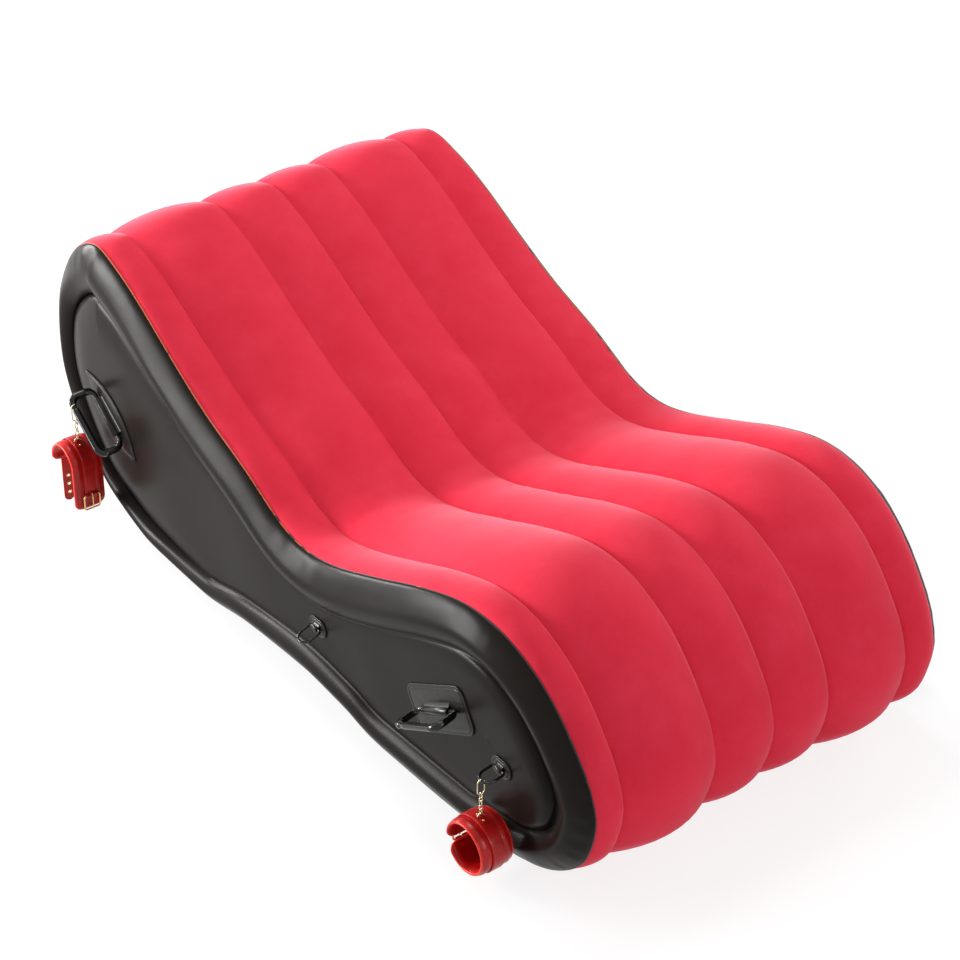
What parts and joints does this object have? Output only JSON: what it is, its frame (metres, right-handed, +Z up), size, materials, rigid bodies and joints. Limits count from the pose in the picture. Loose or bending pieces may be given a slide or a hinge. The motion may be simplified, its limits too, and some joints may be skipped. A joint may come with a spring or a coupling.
{
  "type": "inflatable sofa bed",
  "caption": "Inflatable curved sofa bed with a ribbed flocked seat, black side panels with moulded grips and rings, and padded strap cuffs on short chains.",
  "frame": {"origin": "centre of the bounding box at floor level", "axes": "+X along the length towards the low rounded foot end, +Y towards the side with the air valve, +Z up"},
  "size_m": [1.5361, 0.9202, 0.5573],
  "materials": {
    "red_flocked_pvc": "short velvety flock on the seat sheet",
    "black_pvc_sheet": "satin black sheet",
    "clear_web_pvc": "plain grey sheet inside the air chamber",
    "black_pvc_patch": "smooth black welded patch",
    "black_moulded_grip": "polished black moulding",
    "red_glossy_leatherette": "glossy red leatherette",
    "plated_steel_wire": "bright plated wire",
    "pale_gold_buckle": "pale gold plated wire",
    "clear_valve_plastic": "smoky valve moulding"
  },
  "bodies": {
    "bed": {"top_panel": "red_flocked_pvc", "bottom_panel": "black_pvc_sheet", "side_panel_left": "black_pvc_sheet", "side_panel_right": "black_pvc_sheet", "inner_web_1": "clear_web_pvc", "inner_web_2": "clear_web_pvc", "inner_web_3": "clear_web_pvc", "inner_web_4": "clear_web_pvc", "inner_web_5": "clear_web_pvc", "head_patch_left": "black_pvc_patch", "foot_patch_left": "black_pvc_patch", "waist_tab_left": "black_pvc_patch", "foot_tab_left": "black_pvc_patch", "head_patch_right": "black_pvc_patch", "foot_patch_right": "black_pvc_patch", "waist_tab_right": "black_pvc_patch", "foot_tab_right": "black_pvc_patch", "valve_base": "clear_valve_plastic"},
    "valve_flap": {"valve_flap": "clear_valve_plastic"},
    "valve_cap": {"valve_cap": "clear_valve_plastic"},
    "head_grip_left": {"head_grip_left": "black_moulded_grip"},
    "head_hook_left": {"head_hook_left": "plated_steel_wire"},
    "head_chain_left": {"head_chain_left": "plated_steel_wire"},
    "head_cuff_left": {"head_cuff_pad_left": "red_glossy_leatherette", "head_cuff_strap_left": "red_glossy_leatherette", "head_cuff_d_ring_left": "plated_steel_wire", "head_cuff_buckle_left": "pale_gold_buckle"},
    "head_cuff_prong_left": {"head_cuff_prong_left": "pale_gold_buckle"},
    "foot_ring_left": {"foot_ring_left": "black_moulded_grip"},
    "foot_hook_left": {"foot_hook_left": "plated_steel_wire"},
    "foot_chain_left": {"foot_chain_left": "plated_steel_wire"},
    "foot_cuff_left": {"foot_cuff_pad_left": "red_glossy_leatherette", "foot_cuff_strap_left": "red_glossy_leatherette", "foot_cuff_d_ring_left": "plated_steel_wire", "foot_cuff_buckle_left": "pale_gold_buckle"},
    "foot_cuff_prong_left": {"foot_cuff_prong_left": "pale_gold_buckle"},
    "foot_grip_left": {"foot_grip_left": "black_moulded_grip"},
    "waist_ring_left": {"waist_ring_left": "black_moulded_grip"},
    "head_grip_right": {"head_grip_right": "black_moulded_grip"},
    "head_hook_right": {"head_hook_right": "plated_steel_wire"},
    "head_chain_right": {"head_chain_right": "plated_steel_wire"},
    "head_cuff_right": {"head_cuff_pad_right": "red_glossy_leatherette", "head_cuff_strap_right": "red_glossy_leatherette", "head_cuff_d_ring_right": "plated_steel_wire", "head_cuff_buckle_right": "pale_gold_buckle"},
    "head_cuff_prong_right": {"head_cuff_prong_right": "pale_gold_buckle"},
    "foot_ring_right": {"foot_ring_right": "black_moulded_grip"},
    "foot_hook_right": {"foot_hook_right": "plated_steel_wire"},
    "foot_chain_right": {"foot_chain_right": "plated_steel_wire"},
    "foot_cuff_right": {"foot_cuff_pad_right": "red_glossy_leatherette", "foot_cuff_strap_right": "red_glossy_leatherette", "foot_cuff_d_ring_right": "plated_steel_wire", "foot_cuff_buckle_right": "pale_gold_buckle"},
    "foot_cuff_prong_right": {"foot_cuff_prong_right": "pale_gold_buckle"},
    "foot_grip_right": {"foot_grip_right": "black_moulded_grip"},
    "waist_ring_right": {"waist_ring_right": "black_moulded_grip"}
  },
  "joints": [
    {"name": "valve_flap_hinge", "type": "hinge", "parent": "bed", "child": "valve_flap", "pos_m": [-0.2384, 0.36545, 0.18425], "axis": [-1, 0, 0], "range_deg": [0, 20]},
    {"name": "valve_cap_hinge", "type": "hinge", "parent": "bed", "child": "valve_cap", "pos_m": [-0.2384, 0.38585, 0.19555], "axis": [1, 0, 0], "range_deg": [0, 150]},
    {"name": "head_grip_left_hinge", "type": "hinge", "parent": "bed", "child": "head_grip_left", "pos_m": [-0.54609, 0.3888, 0.22417], "axis": [-0.809, 0, 0.5878], "range_deg": [-45, 20]},
    {"name": "head_hook_left_hinge", "type": "hinge", "parent": "head_grip_left", "child": "head_hook_left", "pos_m": [-0.58233, 0.43115, 0.24127], "axis": [-0.809, 0, 0.5878], "range_deg": [-20, 45]},
    {"name": "head_chain_left_swing", "type": "hinge", "parent": "head_hook_left", "child": "head_chain_left", "pos_m": [-0.58233, 0.43115, 0.21527], "axis": [0, 1, 0], "range_deg": [-15, 40]},
    {"name": "head_cuff_left_swing", "type": "hinge", "parent": "head_chain_left", "child": "head_cuff_left", "pos_m": [-0.58233, 0.43115, 0.17897], "axis": [0, 1, 0], "range_deg": [-15, 40]},
    {"name": "head_cuff_prong_left_hinge", "type": "hinge", "parent": "head_cuff_left", "child": "head_cuff_prong_left", "pos_m": [-0.54843, 0.43115, 0.07506], "axis": [0, -1, 0], "range_deg": [0, 100]},
    {"name": "foot_ring_left_hinge", "type": "hinge", "parent": "bed", "child": "foot_ring_left", "pos_m": [0.56724, 0.3865, 0.18779], "axis": [-1, 0, 0], "range_deg": [-30, 10]},
    {"name": "foot_hook_left_hinge", "type": "hinge", "parent": "foot_ring_left", "child": "foot_hook_left", "pos_m": [0.56724, 0.41979, 0.18192], "axis": [-1, 0, 0], "range_deg": [-10, 30]},
    {"name": "foot_chain_left_swing", "type": "hinge", "parent": "foot_hook_left", "child": "foot_chain_left", "pos_m": [0.56724, 0.41979, 0.15592], "axis": [0, 1, 0], "range_deg": [-4, 12]},
    {"name": "foot_cuff_left_swing", "type": "hinge", "parent": "foot_chain_left", "child": "foot_cuff_left", "pos_m": [0.56724, 0.41979, 0.11962], "axis": [0, 1, 0], "range_deg": [-4, 12]},
    {"name": "foot_cuff_prong_left_hinge", "type": "hinge", "parent": "foot_cuff_left", "child": "foot_cuff_prong_left", "pos_m": [0.64247, 0.41979, 0.06511], "axis": [0, -1, 0], "range_deg": [0, 100]},
    {"name": "foot_grip_left_hinge", "type": "hinge", "parent": "bed", "child": "foot_grip_left", "pos_m": [0.41601, 0.3888, 0.20009], "axis": [-0.8572, 0, -0.515], "range_deg": [-75, 75]},
    {"name": "waist_ring_left_hinge", "type": "hinge", "parent": "bed", "child": "waist_ring_left", "pos_m": [0.08731, 0.3865, 0.15301], "axis": [-1, 0, 0], "range_deg": [-60, 60]},
    {"name": "head_grip_right_hinge", "type": "hinge", "parent": "bed", "child": "head_grip_right", "pos_m": [-0.54609, -0.3888, 0.22417], "axis": [0.809, 0, -0.5878], "range_deg": [-45, 20]},
    {"name": "head_hook_right_hinge", "type": "hinge", "parent": "head_grip_right", "child": "head_hook_right", "pos_m": [-0.58233, -0.43115, 0.24127], "axis": [0.809, 0, -0.5878], "range_deg": [-20, 45]},
    {"name": "head_chain_right_swing", "type": "hinge", "parent": "head_hook_right", "child": "head_chain_right", "pos_m": [-0.58233, -0.43115, 0.21527], "axis": [0, 1, 0], "range_deg": [-15, 40]},
    {"name": "head_cuff_right_swing", "type": "hinge", "parent": "head_chain_right", "child": "head_cuff_right", "pos_m": [-0.58233, -0.43115, 0.17897], "axis": [0, 1, 0], "range_deg": [-15, 40]},
    {"name": "head_cuff_prong_right_hinge", "type": "hinge", "parent": "head_cuff_right", "child": "head_cuff_prong_right", "pos_m": [-0.54843, -0.43115, 0.07506], "axis": [0, -1, 0], "range_deg": [0, 100]},
    {"name": "foot_ring_right_hinge", "type": "hinge", "parent": "bed", "child": "foot_ring_right", "pos_m": [0.56724, -0.3865, 0.18779], "axis": [1, 0, 0], "range_deg": [-30, 10]},
    {"name": "foot_hook_right_hinge", "type": "hinge", "parent": "foot_ring_right", "child": "foot_hook_right", "pos_m": [0.56724, -0.41979, 0.18192], "axis": [1, 0, 0], "range_deg": [-10, 30]},
    {"name": "foot_chain_right_swing", "type": "hinge", "parent": "foot_hook_right", "child": "foot_chain_right", "pos_m": [0.56724, -0.41979, 0.15592], "axis": [0, 1, 0], "range_deg": [-30, 20]},
    {"name": "foot_cuff_right_swing", "type": "hinge", "parent": "foot_chain_right", "child": "foot_cuff_right", "pos_m": [0.56724, -0.41979, 0.11962], "axis": [0, 1, 0], "range_deg": [-30, 20]},
    {"name": "foot_cuff_prong_right_hinge", "type": "hinge", "parent": "foot_cuff_right", "child": "foot_cuff_prong_right", "pos_m": [0.52035, -0.41979, 0.03756], "axis": [0, -1, 0], "range_deg": [0, 100]},
    {"name": "foot_grip_right_hinge", "type": "hinge", "parent": "bed", "child": "foot_grip_right", "pos_m": [0.41601, -0.3888, 0.20009], "axis": [0.8572, 0, 0.515], "range_deg": [-75, 75]},
    {"name": "waist_ring_right_hinge", "type": "hinge", "parent": "bed", "child": "waist_ring_right", "pos_m": [0.08731, -0.3865, 0.15301], "axis": [1, 0, 0], "range_deg": [-60, 60]}
  ],
  "couplings": [
    {"joint": "head_hook_left_hinge", "follows": "head_grip_left_hinge", "ratio": -1},
    {"joint": "foot_hook_left_hinge", "follows": "foot_ring_left_hinge", "ratio": -1},
    {"joint": "head_hook_right_hinge", "follows": "head_grip_right_hinge", "ratio": -1},
    {"joint": "foot_hook_right_hinge", "follows": "foot_ring_right_hinge", "ratio": -1}
  ]
}
